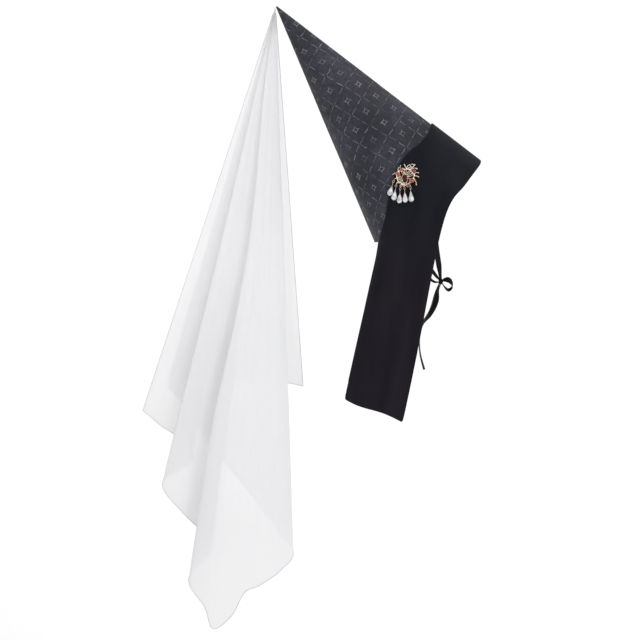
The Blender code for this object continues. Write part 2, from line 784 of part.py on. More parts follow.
def build_stone(name, side, up, length, width, turn):
    """Cut stone: a flat table, a crown, a girdle in the setting and a pavilion."""
    rim = setting_height(length)
    depth = rim - BEZEL_FLOOR - GAP
    top = rim + STONE_RISE + STONE_RISE_BY_LENGTH * length
    profile = (
        (0.0, top),
        (STONE_TABLE, top),
        (CROWN_BREAK[0], blend(rim, top, CROWN_BREAK[1])),
        (1.0, rim - GIRDLE_TOP),
        (1.0, rim - GIRDLE_FOOT),
        (PAVILION_BREAK[0], rim - depth * PAVILION_BREAK[1]),
        (0.0, rim - depth),
    )
    facets = CENTRE_STONE_FACETS if name == "centre_stone" else STONE_FACETS
    stone = baked(turned(name, profile, facets))
    return moved_into_mesh(stone, Matrix.Translation(jewel_spot(side, up, 0.0)) @ oval(turn, length, width))


def wreath_spot(angle, ripple=0.0):
    middle_side, middle_up, half_side, half_up = WREATH
    swell = 1.0 + ripple * math.sin(WREATH_WAVES * angle)
    side = middle_side + half_side * swell * math.cos(angle)
    return jewel_spot(side, middle_up + half_up * swell * math.sin(angle))


def build_wreath():
    angles = [math.tau * step / WREATH_STEPS for step in range(WREATH_STEPS)]
    points = [wreath_spot(angle, WREATH_RIPPLE) for angle in angles]
    return wire(points, FRAME_WIRE, closed=True)


def build_petal(degrees):
    """Open oval loop, its long way from the middle setting to the wreath."""
    angle = math.radians(degrees)
    _, _, _, length, width, _, _ = SETTINGS[0]
    start = jewel_spot(0.5 * width * math.cos(angle), 0.5 * length * math.sin(angle))
    start += (start - jewel_spot(0.0, 0.0)).normalized() * BEZEL_WALL
    end = wreath_spot(angle)
    middle = blend(start, end, 0.5)
    reach = (end - start) * 0.5
    aside = reach.cross(Vector((0.0, 0.0, 1.0))).normalized() * (PETAL_WIDTH * BROOCH_WIDTH)
    points = []
    for step in range(PETAL_STEPS):
        turn = math.tau * step / PETAL_STEPS
        points.append(middle + reach * math.cos(turn) + aside * math.sin(turn))
    return wire(points, TWIG_WIRE, closed=True)


def drop_way(sway, inward):
    angle = math.radians(sway)
    return Vector((math.sin(angle), -math.cos(angle), -math.tan(math.radians(inward)))).normalized()


def link_step():
    """Distance between the middles of two rings that hang in each other, with a gap between."""
    return 2.0 * LINK_RADIUS - 2.0 * LINK_WIRE - GAP


def build_frame():
    """Openwork of the brooch: settings, wreath, petals, twigs, leaf, curls, rays and eyes."""
    pieces = [build_wreath()]
    hollows = []
    for _, side, up, length, width, turn, _ in SETTINGS:
        stone = (side, up, length, width, turn)
        pieces.append(oval_block(*stone, BEZEL_WALL, 0.0, setting_height(length)))
        hollows.append(oval_block(*stone, GAP, BEZEL_FLOOR, BEZEL_FLOOR + POCKET_DEPTH))
    for degrees in PETALS:
        pieces.append(build_petal(degrees))
    for from_side, from_up, bend_side, bend_up, to_side, to_up in TWIGS:
        start = jewel_spot(from_side, from_up)
        bend = jewel_spot(bend_side, bend_up, FRAME_HEIGHT * TWIG_LIFT)
        end = jewel_spot(to_side, to_up)
        pieces.append(wire([start, bend, end], TWIG_WIRE))
        pieces.append(bead(end, BEAD_RADIUS))
    pieces.append(wire([jewel_spot(*spot) for spot in LEAF], LEAF_WIRE))
    for side, up, radius in CURLS:
        pieces.append(ring(jewel_spot(side, up), (0.0, 0.0, 1.0), radius * BROOCH_WIDTH, TWIG_WIRE))
    for from_side, from_up, to_side, to_up in RAYS:
        pieces.append(wire([jewel_spot(from_side, from_up), jewel_spot(to_side, to_up)], TWIG_WIRE))
    for side, up, from_side, from_up, sway, inward, _, _ in DROPS:
        way = drop_way(sway, inward)
        across = way.cross(Vector((0.0, 0.0, 1.0))).normalized()
        eye = jewel_spot(side, up)
        pieces.append(ring(eye, across, LINK_RADIUS, LINK_WIRE))
        top_of_eye = eye - way * LINK_RADIUS
        pieces.append(wire([jewel_spot(from_side, from_up), top_of_eye], TWIG_WIRE))
    return smooth(fused("brooch_frame", pieces, hollows), 45.0)


def build_link(name, middle, way, flat):
    """Loose ring of the little chains; flat ones face out, the others stand edge on."""
    facing = Vector((0.0, 0.0, 1.0))
    across = way.cross(facing).normalized()
    axis = across.cross(way) if flat else across
    link = ring(middle, axis, LINK_RADIUS, LINK_WIRE)
    link.name = name
    return smooth(link, 60.0)


def build_hanger(name, middle, way, stem, flat):
    """Ring, stem and cap that carry one drop, soldered in one."""
    stem_end = middle + way * (LINK_RADIUS + stem + CAP_LENGTH * 0.5)
    loop = build_link("ring", middle, way, flat)
    rod = wire([middle + way * LINK_RADIUS, stem_end], STEM_RADIUS)
    profile = ((0.0, 0.0), (CAP_TOP_RADIUS, 0.0), (CAP_RADIUS, -CAP_LENGTH), (0.0, -CAP_LENGTH))
    cap = hung_from(baked(turned("cap", profile, CAP_SIDES)), middle + way * (LINK_RADIUS + stem), way)
    return smooth(fused(name, [loop, rod, cap]), 45.0)


def hung_from(item, top, way):
    """An item made round Z and under its top, set to hang from a point along a direction."""
    turn = (-way).to_track_quat("Z", "Y").to_matrix().to_4x4()
    return moved_into_mesh(item, Matrix.Translation(top) @ turn)


def build_pearl(name, top, way):
    """Long drop, narrow at its top."""
    profile = [(0.0, 0.0)]
    for down, wide in DROP_SHAPE:
        profile.append((wide * DROP_RADIUS, -down * DROP_LENGTH))
    profile.append((0.0, -DROP_LENGTH))
    return smooth(hung_from(baked(turned(name, profile, DROP_SIDES)), top, way), 60.0)


def build_pin():
    """Plain pin bar behind the brooch."""
    height = -(PIN_BEHIND + PIN_RADIUS)
    half = PIN_LENGTH * 0.5
    bar = wire([Vector((-half, 0.0, height)), Vector((half, 0.0, height))], PIN_RADIUS)
    bar.name = "brooch_pin"
    return smooth(bar)


def build_brooch(group, materials):
    seat = brooch_seat(group)
    made = [(build_frame(), "gold"), (build_pin(), "gold")]
    for name, side, up, length, width, turn, colour in SETTINGS:
        made.append((build_stone(name, side, up, length, width, turn), colour))
    for index, (side, up, _, _, sway, inward, links, stem) in enumerate(DROPS, start=1):
        way = drop_way(sway, inward)
        middle = jewel_spot(side, up)
        flat = True
        for number in range(1, links + 1):
            middle = middle + way * link_step()
            made.append((build_link(f"drop_link_{index}_{number}", middle, way, flat), "gold"))
            flat = not flat
        middle = middle + way * link_step()
        stem_length = stem * BROOCH_WIDTH
        made.append((build_hanger(f"drop_hanger_{index}", middle, way, stem_length, flat), "gold"))
        top = middle + way * (LINK_RADIUS + stem_length + CAP_LENGTH + GAP)
        made.append((build_pearl(f"pearl_drop_{index}", top, way), "pearl"))
    for item, colour in made:
        place(item, group, materials[colour])
        item.parent = seat


def main():
    clear_scene()
    hat = make_collection("hennin_cone_hat")
    materials = {name: make_material(name) for name in COLOURS}
    place(build_cone(), hat, materials["brocade"])
    place(build_lappet_band(), hat, materials["velvet"])
    place(build_veil(), hat, materials["chiffon"])
    place(build_strand("chin_ribbon_near", -1), hat, materials["satin"])
    place(build_strand("chin_ribbon_far", 1), hat, materials["satin"])
    place(build_knot(), hat, materials["satin"])
    place(build_bow_strip("bow_loop_front", FRONT_LOOP, LOOP_LENGTH, True), hat, materials["satin"])
    place(build_bow_strip("bow_loop_back", BACK_LOOP, LOOP_LENGTH, True), hat, materials["satin"])
    place(build_bow_strip("bow_tail_front", FRONT_TAIL, TAIL_LENGTH, False), hat, materials["satin"])
    place(build_bow_strip("bow_tail_back", BACK_TAIL, TAIL_LENGTH, False), hat, materials["satin"])
    build_brooch(hat, materials)


main()
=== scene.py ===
"""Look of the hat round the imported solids: brocade cone, velvet band, sheer veil, ribbons and jewel.

Metres, +Z up, in the frame of the solids: the origin is the centre of the rim circle, +X is the
wearer's front and -Y the side with the jewel. The cone leans back, so its point is on the -X side.
"""

import math

import bmesh
import bpy
from mathutils import Matrix, Vector, noise

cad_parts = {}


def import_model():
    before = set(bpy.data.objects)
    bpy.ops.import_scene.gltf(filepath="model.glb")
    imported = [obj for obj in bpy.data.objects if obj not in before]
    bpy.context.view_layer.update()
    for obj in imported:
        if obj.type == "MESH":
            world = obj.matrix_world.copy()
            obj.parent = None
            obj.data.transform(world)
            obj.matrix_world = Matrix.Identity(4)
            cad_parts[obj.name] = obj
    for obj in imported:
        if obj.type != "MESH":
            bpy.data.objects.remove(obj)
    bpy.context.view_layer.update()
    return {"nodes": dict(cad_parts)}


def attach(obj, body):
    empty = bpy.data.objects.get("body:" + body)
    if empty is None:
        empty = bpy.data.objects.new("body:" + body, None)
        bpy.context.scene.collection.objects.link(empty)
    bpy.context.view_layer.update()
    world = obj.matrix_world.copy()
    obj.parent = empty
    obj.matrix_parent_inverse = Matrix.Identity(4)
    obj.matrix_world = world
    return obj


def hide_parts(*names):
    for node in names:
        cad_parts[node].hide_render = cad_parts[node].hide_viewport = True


MILLIMETRE = 0.001
MERGE = 0.01 * MILLIMETRE
GAP = 0.3 * MILLIMETRE

# Cone, as in the solids
RIM_RADIUS = 92.5 * MILLIMETRE
CONE_HEIGHT = 348.0 * MILLIMETRE
CONE_WALL = 2.0 * MILLIMETRE
TIP_RADIUS = 1.2 * MILLIMETRE
CONE_LEAN = math.radians(45.0)
CONE_COLUMNS = 180
CONE_ROWS = 70
LINING_ROWS = 24
TIP_STEPS = (78, 64, 50, 36, 24)
HEM_STEPS = (25, 55, 90, 125, 155)
TIP_HOLE = 0.02 * MILLIMETRE
LINING_TIP_HOLE = 0.05 * MILLIMETRE
CONE_DENT = 0.35 * MILLIMETRE
CONE_DENTS_PER_METRE = 14.0
DENT_FULL_BELOW_TIP = 0.4
DENT_FULL_ABOVE_RIM = 0.05
SEAM_DEPTH = 0.6 * MILLIMETRE
SEAM_FULL_BELOW_TIP = 0.1
HEM_ROLL = 0.9 * MILLIMETRE

# Velvet band, as in the solids
BAND_WIDTH = 87.0 * MILLIMETRE
BAND_WALL = 1.8 * MILLIMETRE
BAND_LIFT = 0.9 * MILLIMETRE
BAND_OVERHANG = 1.2 * MILLIMETRE
BAND_BACK_RUN = 228.0 * MILLIMETRE
BAND_FRONT_RUN = 107.5 * MILLIMETRE
LAPPET_DROP = 291.5 * MILLIMETRE
LAPPET_SETBACK = 37.0 * MILLIMETRE
LAPPET_INSET = 17.5 * MILLIMETRE
LAPPET_LEAN = math.radians(4.8)
LAPPET_TURN = math.radians(11.0)
HEM_SLANT = 13.0 * MILLIMETRE
HEM_SAG = 2.0 * MILLIMETRE
LAPPET_FOLD = 2.2 * MILLIMETRE
LAPPET_WAVES = 1.3
LAPPET_WAVE_START = 0.175
LAPPET_WAVE_FULL_AT = 0.625
LAPPET_PULL_BACK = 0.10
LAPPET_PULL_FRONT = 0.13
LAPPET_PULL_HEM = 0.62
BAND_END_SLOPE_FROM = 0.96
BAND_ROWS_ON_CONE = 44
BAND_ROWS_HANGING = 40
BAND_COLUMNS = 24
FAR_LAPPET_FORWARD = 3.0 * MILLIMETRE
FAR_LAPPET_FORWARD_AT = 0.5

# Veil, as in the solids
VEIL_LENGTH = 874.0 * MILLIMETRE
VEIL_SETBACK = 1.2 * MILLIMETRE
VEIL_START = 1.5 * MILLIMETRE
VEIL_STEPS_PER_FOLD = 14
VEIL_ROWS = 76
VEIL_ROW_CROWDING = 1.15
VEIL_RIPPLE = 1.9 * MILLIMETRE
VEIL_RIPPLES_ACROSS = 26.0
VEIL_RIPPLES_DOWN = 4.5
VEIL_RIPPLE_SEED = 3.1
VEIL_RIPPLE_BETWEEN = (0.05, 0.40)
VEIL_FINE_RIPPLE = 0.4
VEIL_FINE_RIPPLE_SCALE = 2.3
VEIL_FINE_RIPPLE_SHIFT = (7.0, 1.0, 0.0)
VEIL_PLEAT = 0.35 * MILLIMETRE
VEIL_PLEATS_ACROSS = 260.0
VEIL_PLEAT_FULL_AT = 0.02
VEIL_PLEAT_BETWEEN = (0.02, 0.14)
VEIL_HEM = 0.55 * MILLIMETRE
VEIL_BEND = math.radians(2.8)
VEIL_BEND_MIDDLE = 20.0
VEIL_BEND_REACH = 4.0
VEIL_BEND_FULL_AT = 0.26
VEIL_BEND_OVER = (0.28, 0.62)
# Painted light and shade of the veil: its colour darker low down, and more see-through high up so that it
# looks lighter there
VEIL_LOW_SHADE = 0.885
VEIL_PAINTED_LIGHT_CLEARER = 0.12
VEIL_SHADE_BETWEEN = (-0.48, -0.12)

# Chin ribbon and its bow, as in the solids
RIBBON_WIDTH = 8.0 * MILLIMETRE
RIBBON_WALL = 0.7 * MILLIMETRE
RIBBON_SEWN = 10.0 * MILLIMETRE
RIBBON_FROM_FRONT = math.radians(84.0)
RIBBON_INSIDE = 0.5 * MILLIMETRE
RIBBON_BOW = 0.12
RIBBON_NARROWING = 0.5
KNOT_FORWARD = 33.9 * MILLIMETRE
KNOT_DROP = 108.6 * MILLIMETRE
KNOT_SIZE = 9.5 * MILLIMETRE
STRAND_END = 3.2 * MILLIMETRE
LOOP_LENGTH = 17.0 * MILLIMETRE
TAIL_LENGTH = 127.0 * MILLIMETRE
SEWN_STEPS = 4
STRAND_STEPS = 28
STRAND_NARROW_ROWS = 7.0
BOW_STEPS_PER_ROW = 9
RIBBON_COLUMNS = 4
KNOT_CUTS = 7
KNOT_RADIUS = 0.52
KNOT_ROUNDNESS = 0.72
KNOT_CREASE = 0.028
KNOT_CREASES = (6.0, 3.0, 17.0)
KNOT_SHAPE = (0.70, 0.62, 0.86)

# Jewel: faces that meet flatter than this are joined, and edges sharper than these stay sharp
JOIN_ANGLE = 50.0
FRAME_EDGE = 110.0
CAP_EDGE = 75.0
PEARL_EDGE = 42.0
DROPS = 5

# Brocade lattice on the opened-out cloth: its pitch, and the place of one motif from the cone's point
LATTICE_PITCH = 29.5 * MILLIMETRE
MOTIF_REACH = 158.0 * MILLIMETRE
MOTIF_ALONG = 7.6 * MILLIMETRE

# Camera: picture size in pixels, size of a pixel at the hat, distance, and how the picture is turned
PICTURE = 640
PIXEL = 1.4 * MILLIMETRE
RIM_PIXEL = (427.0, 202.0)
CAMERA_DISTANCE = 4.6
CAMERA_ELEVATION = math.radians(8.0)
CAMERA_ROLL = math.radians(7.4)
SENSOR = 36.0
CLIP_END = 100.0
FLOOR_HEIGHT = -0.86
FLOOR_REACH = 60.0
STUDIO_LIGHT = 0.62

BAND_EDGES = (
    # along, back, front
    (0.00, 0.000, 0.000),
    (0.24, 0.015, 0.000),
    (0.44, -0.100, -0.015),
    (0.62, -0.040, -0.030),
    (0.82, 0.075, -0.045),
    (1.00, 0.050, -0.078),
)
VEIL_FOLDS = (
    # side, depth, drop
    (11.25, 4.6, 0.621),
    (8.8, 4.9, 0.614),
    (4.5, 5.3, 0.608),
    (0.0, 5.6, 0.618),
    (-6.0, 5.5, 0.630),
    (-9.0, 4.8, 0.636),
    (-6.9, 3.9, 0.652),
    (-8.7, 2.7, 0.644),
    (-6.2, 1.3, 0.659),
    (-1.0, 1.2, 0.721),
    (4.0, 1.7, 0.790),
    (7.95, 1.5, 0.862),
    (9.15, -0.2, 0.887),
    (8.05, -1.9, 0.906),
    (5.8, -3.3, 0.928),
    (4.3, -4.1, 0.939),
    (3.2, -4.7, 0.976),
    (1.6, -5.3, 0.996),
    (0.6, -5.5, 0.962),
    (-1.3, -5.2, 0.922),
    (0.5, -3.7, 0.872),
    (-0.9, -2.6, 0.850),
    (-3.2, -3.1, 0.824),
    (-6.1, -2.9, 0.785),
    (-3.2, -1.6, 0.742),
    (-5.6, -1.1, 0.712),
    (-8.2, -0.4, 0.701),
    (-11.0, 0.5, 0.688),
)
FRONT_LOOP = (
    # forward, up, left, face, spread
    (0.160, 0.14, 0.00, 60, 0.60),
    (0.55, 0.22, 0.00, 74, 1.00),
    (0.90, 0.03, 0.00, 62, 1.05),
    (1.02, -0.32, 0.00, 40, 1.05),
    (0.74, -0.62, 0.00, 30, 1.05),
    (0.42, -0.46, 0.00, 24, 0.85),
    (0.150, -0.14, 0.00, 20, 0.50),
)
BACK_LOOP = (
    # forward, up, left, face, spread
    (-0.140, 0.15, 0.00, 50, 0.50),
    (-0.52, 0.50, 0.02, 65, 0.90),
    (-0.86, 0.78, 0.05, 60, 1.00),
    (-1.08, 0.55, 0.08, 35, 1.00),
    (-0.88, 0.10, 0.08, 30, 1.00),
    (-0.52, -0.10, 0.04, 25, 0.80),
    (-0.160, -0.09, 0.00, 15, 0.45),
)
FRONT_TAIL = (
    # forward, up, left, face, spread
    (0.005, -0.024, -0.005, 60, 0.30),
    (-0.020, -0.102, -0.012, 55, 0.90),
    (-0.025, -0.236, -0.024, 8, 1.00),
    (-0.072, -0.387, -0.026, 35, 1.00),
    (-0.136, -0.495, -0.024, 60, 1.00),
    (-0.149, -0.608, -0.020, 76, 1.00),
    (-0.143, -0.718, -0.020, 78, 1.00),
    (-0.113, -0.848, -0.020, 74, 1.00),
    (-0.051, -1.000, -0.020, 66, 1.00),
)
BACK_TAIL = (
    # forward, up, left, face, spread
    (-0.012, -0.024, 0.006, 50, 0.30),
    (-0.040, -0.150, 0.050, 66, 0.90),
    (-0.072, -0.340, 0.085, 72, 1.00),
    (-0.150, -0.540, 0.095, 70, 1.00),
    (-0.165, -0.760, 0.090, 62, 1.00),
    (-0.195, -1.000, 0.085, 50, 1.00),
)
STONES = (
    # node, material, painted fire, deep, fire from
    ("centre_stone", "garnet_stone", (0.40, 0.060, 0.018), (0.020, 0.003, 0.002), 0.56),
    ("side_stone_left", "coral_cut_stone", (0.90, 0.26, 0.13), (0.33, 0.030, 0.018), 0.50),
    ("side_stone_right", "amber_cut_stone", (0.80, 0.19, 0.06), (0.20, 0.020, 0.010), 0.50),
    ("side_stone_top_right", "ruby_cut_stone", (0.55, 0.09, 0.11), (0.15, 0.010, 0.025), 0.50),
    ("side_stone_top_left", "rose_cut_stone", (0.80, 0.35, 0.30), (0.30, 0.08, 0.07), 0.50),
    ("side_stone_low", "brown_cut_stone", (0.50, 0.26, 0.12), (0.12, 0.05, 0.02), 0.50),
)

# What follows from the driving dimensions
HALF_ANGLE = math.atan2(RIM_RADIUS, CONE_HEIGHT)
SLANT = math.hypot(RIM_RADIUS, CONE_HEIGHT)
LEAN = Matrix.Rotation(-CONE_LEAN, 3, "Y")
CONE_TIP = LEAN @ Vector((0.0, 0.0, CONE_HEIGHT - TIP_RADIUS / math.sin(HALF_ANGLE) + TIP_RADIUS))
KNOT = Vector((KNOT_FORWARD, 0.0, -KNOT_DROP))


def blend(low, high, share):
    return low + (high - low) * share


def ease(value):
    held = min(1.0, max(0.0, value))
    return held * held * (3.0 - 2.0 * held)


def through(rows, share):
    """Smooth curve through rows of numbers, at a share of its length in rows."""
    last = len(rows) - 1
    place_in_rows = min(max(share, 0.0), 1.0) * last
    first = min(int(place_in_rows), last - 1)
    t = place_in_rows - first
    before, start, end, after = (rows[min(max(first + step, 0), last)] for step in (-1, 0, 1, 2))
    return tuple(
        0.5 * (2 * b + (c - a) * t + (2 * a - 5 * b + 4 * c - d) * t * t + (3 * b - a - 3 * c + d) * t**3)
        for a, b, c, d in zip(before, start, end, after)
    )


class Look:
    """One node material, built a node at a time."""

    def __init__(self, name):
        self.material = bpy.data.materials.new(name)
        self.material.use_nodes = True
        self.tree = self.material.node_tree
        self.shader = self.tree.nodes["Principled BSDF"]
        self.output = self.tree.nodes["Material Output"]

    def feed(self, node, key, value):
        socket = node.inputs[key]
        if isinstance(value, bpy.types.NodeSocket):
            self.tree.links.new(value, socket)
        else:
            socket.default_value = value

    def set(self, **values):
        for key, value in values.items():
            self.feed(self.shader, key.replace("_", " "), value)

    def node(self, kind, inputs, **settings):
        made = self.tree.nodes.new(kind)
        for key, value in settings.items():
            setattr(made, key, value)
        for key, value in inputs.items():
            self.feed(made, key, value)
        return made

    def math(self, operation, first, second=0.0, third=0.0):
        inputs = {0: first, 1: second, 2: third}
        return self.node("ShaderNodeMath", inputs, operation=operation).outputs[0]

    def mix(self, share, low, high):
        made = self.node("ShaderNodeMix", {}, data_type="RGBA")
        for key, value in ((0, share), (6, low), (7, high)):
            self.feed(made, key, value)
        return made.outputs[2]

    def ranged(self, value, low, high, out_low, out_high):
        inputs = {"Value": value, "From Min": low, "From Max": high, "To Min": out_low, "To Max": out_high}
        return self.node("ShaderNodeMapRange", inputs).outputs[0]

    def under(self, value, limit, soft):
        """1 where value is under limit, 0 where it is over, with a soft edge."""
        return self.ranged(value, limit - soft, limit + soft, 1.0, 0.0)

    def object_place(self):
        return self.node("ShaderNodeTexCoord", {}).outputs["Object"]

    def noise(self, scale, detail=3.0, place=None, roughness=0.5):
        inputs = {"Scale": scale, "Detail": detail, "Roughness": roughness}
        inputs["Vector"] = self.object_place() if place is None else place
        return self.node("ShaderNodeTexNoise", inputs).outputs["Fac"]

    def bump(self, height, strength, distance, after=None):
        inputs = {"Height": height, "Strength": strength, "Distance": distance}
        if after is not None:
            inputs["Normal"] = after
        return self.node("ShaderNodeBump", inputs).outputs["Normal"]


def brocade_look():
    """Charcoal cloth with a pale woven lattice of broken lines and a small square in each cell."""
    look = Look("brocade_cloth")
    cells = look.node("ShaderNodeUVMap", {}, uv_map="cloth").outputs["UV"]
    parts = look.node("ShaderNodeSeparateXYZ", {"Vector": cells}).outputs
    pitch = LATTICE_PITCH / MILLIMETRE
    wobble = look.noise(1.9, 2.0, cells)
    across = look.math("ADD", parts[0], look.ranged(wobble, 0.0, 1.0, -0.025, 0.025))
    down = look.math("ADD", parts[1], look.ranged(wobble, 0.0, 1.0, 0.02, -0.02))
    uneven = look.noise(6.5, 2.0, cells)
    across = look.math("ADD", across, look.ranged(uneven, 0.25, 0.75, -0.022, 0.022))
    down = look.math("ADD", down, look.ranged(uneven, 0.25, 0.75, 0.022, -0.022))
    x = look.math("MULTIPLY", look.math("PINGPONG", across, 0.5), pitch)
    y = look.math("MULTIPLY", look.math("PINGPONG", down, 0.5), pitch)
    longer = look.math("MAXIMUM", x, y)
    shorter = look.math("MINIMUM", x, y)
    side = look.math("MULTIPLY_ADD", shorter, 0.12, 2.45)
    off_side = look.math("ABSOLUTE", look.math("SUBTRACT", longer, side))
    square = look.under(off_side, 0.48, 0.18)
    shadows = [look.under(off_side, 1.1, 0.5)]
    off_diagonal = look.math("SUBTRACT", longer, shorter)
    tick = look.math("MULTIPLY", look.under(off_diagonal, 0.62, 0.25), look.under(longer, 4.1, 0.3))
    tick = look.math("MULTIPLY", tick, look.ranged(longer, 2.5, 2.9, 0.0, 1.0))
    lines = []
    signed = []
    for place in (across, down):
        off_border = look.math("SUBTRACT", look.math("FRACT", place), 0.5)
        signed.append(look.math("MULTIPLY", off_border, pitch))
    for cross_way, long_way in (signed, reversed(signed)):
        shift = look.math("MULTIPLY", look.math("SIGN", long_way), 0.38)
        off_line = look.math("ABSOLUTE", look.math("ADD", cross_way, shift))
        from_corner = look.math("ABSOLUTE", long_way)
        thread = look.under(off_line, 0.42, 0.18)
        off_corner = look.ranged(from_corner, 1.3, 1.9, 0.0, 1.0)
        stroke = look.math("MULTIPLY", look.under(from_corner, 12.2, 0.4), off_corner)
        lines.append(look.math("MULTIPLY", thread, stroke))
        shadows.append(look.math("MULTIPLY", look.under(off_line, 1.2, 0.6), stroke))
    pattern = look.math("MAXIMUM", look.math("MAXIMUM", square, tick), look.math("MAXIMUM", *lines))
    worn = look.ranged(look.noise(1.7, 4.0, cells), 0.38, 0.62, 0.25, 1.0)
    broken = look.ranged(look.noise(13.0, 3.0, cells), 0.38, 0.52, 0.55, 1.0)
    pattern = look.math("MULTIPLY", look.math("MULTIPLY", pattern, worn), broken)
    shadow = look.math("MAXIMUM", look.math("MAXIMUM", shadows[0], shadows[1]), shadows[2])
    twill = look.node(
        "ShaderNodeTexWave",
        {"Vector": cells, "Scale": 11.0, "Distortion": 0.35, "Detail": 1.0, "Detail Scale": 2.0},
        wave_type="BANDS",
        bands_direction="DIAGONAL",
    ).outputs["Fac"]
    grain = look.noise(1500.0, 2.0)
    cloud = look.ranged(look.noise(13.0, 5.0, None, 0.60), 0.3, 0.7, 0.0, 1.0)
    ground = look.mix(cloud, (0.010, 0.014, 0.016, 1.0), (0.070, 0.070, 0.098, 1.0))
    tint = look.noise(9.0, 3.0)
    ground = look.mix(look.ranged(tint, 0.50, 0.72, 0.0, 0.55), ground, (0.064, 0.052, 0.068, 1.0))
    blotch = look.noise(210.0, 3.0)
    ground = look.mix(look.ranged(blotch, 0.42, 0.62, 0.0, 0.55), ground, (0.018, 0.020, 0.024, 1.0))
    fleck = look.ranged(grain, 0.45, 0.75, 0.0, 0.30)
    ground = look.mix(fleck, ground, (0.060, 0.060, 0.070, 1.0))
    ground = look.mix(look.ranged(twill, 0.35, 0.65, 0.0, 0.25), ground, (0.009, 0.009, 0.012, 1.0))
    ground = look.mix(look.math("MULTIPLY", shadow, 0.38), ground, (0.010, 0.011, 0.013, 1.0))
    colour = look.mix(look.math("MULTIPLY", pattern, 0.72), ground, (0.300, 0.305, 0.360, 1.0))
    rough = look.ranged(pattern, 0.0, 1.0, 0.78, 0.52)
    normal = look.bump(pattern, 0.35, 0.25 * MILLIMETRE)
    normal = look.bump(twill, 0.22, 0.15 * MILLIMETRE, normal)
    normal = look.bump(grain, 0.25, 0.2 * MILLIMETRE, normal)
    look.set(Base_Color=colour, Roughness=rough, Normal=normal, Sheen_Weight=0.02, Sheen_Roughness=0.45)
    look.set(Specular_IOR_Level=0.25)
    return look.material


def velvet_look():
    """Black pile: cool at the crown, a little warmer and painted lighter in the lappets, with painted sheen
    of soft folds in long streaks.
    """
    look = Look("black_velvet")
    place = look.object_place()
    height = look.node("ShaderNodeSeparateXYZ", {"Vector": place}).outputs[2]
    drawn_out = look.node("ShaderNodeVectorMath", {0: place, 1: (1.0, 1.0, 0.16)}, operation="MULTIPLY")
    streak = look.noise(34.0, 3.0, drawn_out.outputs[0])
    pile = look.noise(2600.0, 2.0)
    # painted sheen: long soft streaks, drawn out downwards, stand in for light on the soft folds of the pile
    painted_fold_sheen = look.ranged(streak, 0.3, 0.7, 0.0, 1.0)
    crown = look.mix(painted_fold_sheen, (0.0068, 0.0080, 0.0118, 1.0), (0.0112, 0.0126, 0.0178, 1.0))
    lappet = look.mix(painted_fold_sheen, (0.0080, 0.0068, 0.0108, 1.0), (0.0160, 0.0134, 0.0192, 1.0))
    # painted light: below the rim the velvet turns to the warmer lappet colour, made lighter to make up for
    # the shade on the hanging ends
    colour = look.mix(look.ranged(height, -0.12, 0.02, 0.0, 1.0), lappet, crown)
    colour = look.mix(look.ranged(pile, 0.5, 0.8, 0.0, 0.35), colour, (0.022, 0.022, 0.026, 1.0))
    normal = look.bump(streak, 0.35, 1.5 * MILLIMETRE)
    normal = look.bump(pile, 0.5, 0.25 * MILLIMETRE, normal)
    look.set(Base_Color=colour, Roughness=0.92, Normal=normal, Sheen_Weight=0.04, Sheen_Roughness=0.35)
    look.set(Specular_IOR_Level=0.12)
    return look.material


def lining_look():
    """Plain black cloth inside the cone."""
    look = Look("black_lining")
    weave = look.bump(look.noise(1800.0, 2.0), 0.2, 0.15 * MILLIMETRE)
    look.set(Base_Color=(0.014, 0.014, 0.017, 1.0), Roughness=0.62, Normal=weave)
    return look.material


def satin_look():
    """Black ribbon with a soft sheen, a little streaked along its threads."""
    look = Look("black_satin")
    streak = look.noise(900.0, 2.0)
    look.set(Base_Color=(0.0035, 0.0035, 0.0042, 1.0), Roughness=look.ranged(streak, 0.3, 0.7, 0.34, 0.48))
    look.set(Normal=look.bump(streak, 0.18, 0.12 * MILLIMETRE), Specular_IOR_Level=0.08)
    return look.material


def chiffon_look(name, see_through, colour):
    """Sheer white cloth: part of the light passes, part is scattered by its threads."""
    look = Look(name)
    weave = look.bump(look.noise(1400.0, 2.0), 0.10, 0.1 * MILLIMETRE)
    cloud = look.noise(9.0, 3.0)
    height = look.node("ShaderNodeSeparateXYZ", {"Vector": look.object_place()}).outputs[2]
    # painted shade: the cloth's colour darkens towards the bottom
    low = tuple(channel * VEIL_LOW_SHADE for channel in colour[:3]) + (1.0,)
    colour = look.mix(look.ranged(height, *VEIL_SHADE_BETWEEN, 0.0, 1.0), low, colour)
    diffuse = look.node("ShaderNodeBsdfDiffuse", {"Color": colour, "Normal": weave})
    glow = look.node("ShaderNodeBsdfTranslucent", {"Color": colour})
    clear = look.node("ShaderNodeBsdfTransparent", {"Color": (1.0, 1.0, 1.0, 1.0)})
    threads = look.node("ShaderNodeMixShader", {0: 0.25, 1: diffuse.outputs[0], 2: glow.outputs[0]})
    # painted light: more light passes higher up, so the cloth looks lighter there
    share = look.ranged(height, *VEIL_SHADE_BETWEEN, see_through, see_through + VEIL_PAINTED_LIGHT_CLEARER)
    share = look.math("ADD", share, look.ranged(cloud, 0.3, 0.7, -0.03, 0.03))
    cloth = look.node("ShaderNodeMixShader", {0: share, 1: threads.outputs[0], 2: clear.outputs[0]})
    look.tree.links.new(cloth.outputs[0], look.output.inputs["Surface"])
    look.tree.nodes.remove(look.shader)
    return look.material


